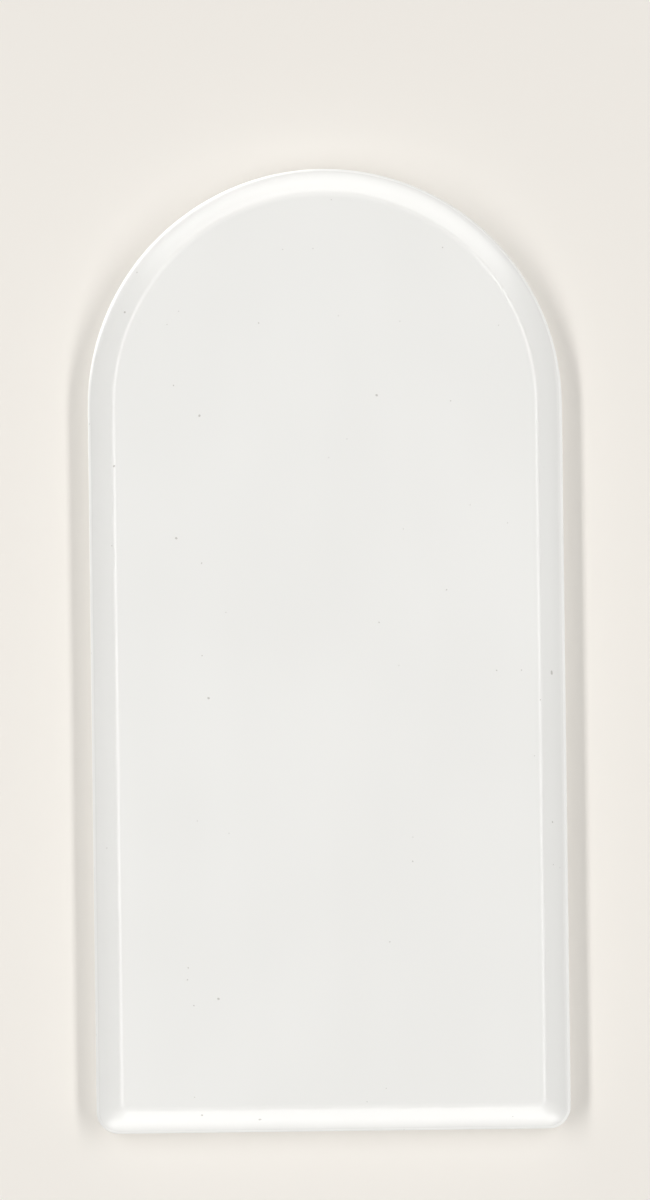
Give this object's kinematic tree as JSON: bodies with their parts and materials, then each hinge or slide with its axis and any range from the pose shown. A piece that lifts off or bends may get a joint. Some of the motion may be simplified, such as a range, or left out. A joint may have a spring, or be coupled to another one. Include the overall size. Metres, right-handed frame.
{
  "type": "icing smoother",
  "caption": "White plastic icing smoother: flat bevelled plate with an arched end and a square end, and a hollow bow handle lengthwise on its back.",
  "frame": {"origin": "middle of the tool's outline, on the smoothing face", "axes": "+Z from the smoothing face towards the handle, +Y along the tool towards its arched end, +X across it"},
  "size_m": [0.0862, 0.175, 0.046],
  "materials": {
    "sole_plastic": "satin, smooth moulded face",
    "handle_plastic": "satin, fine moulded grain"
  },
  "bodies": {
    "root": {"sole": "sole_plastic", "handle_base": "handle_plastic", "handle_cover": "handle_plastic"}
  },
  "joints": []
}
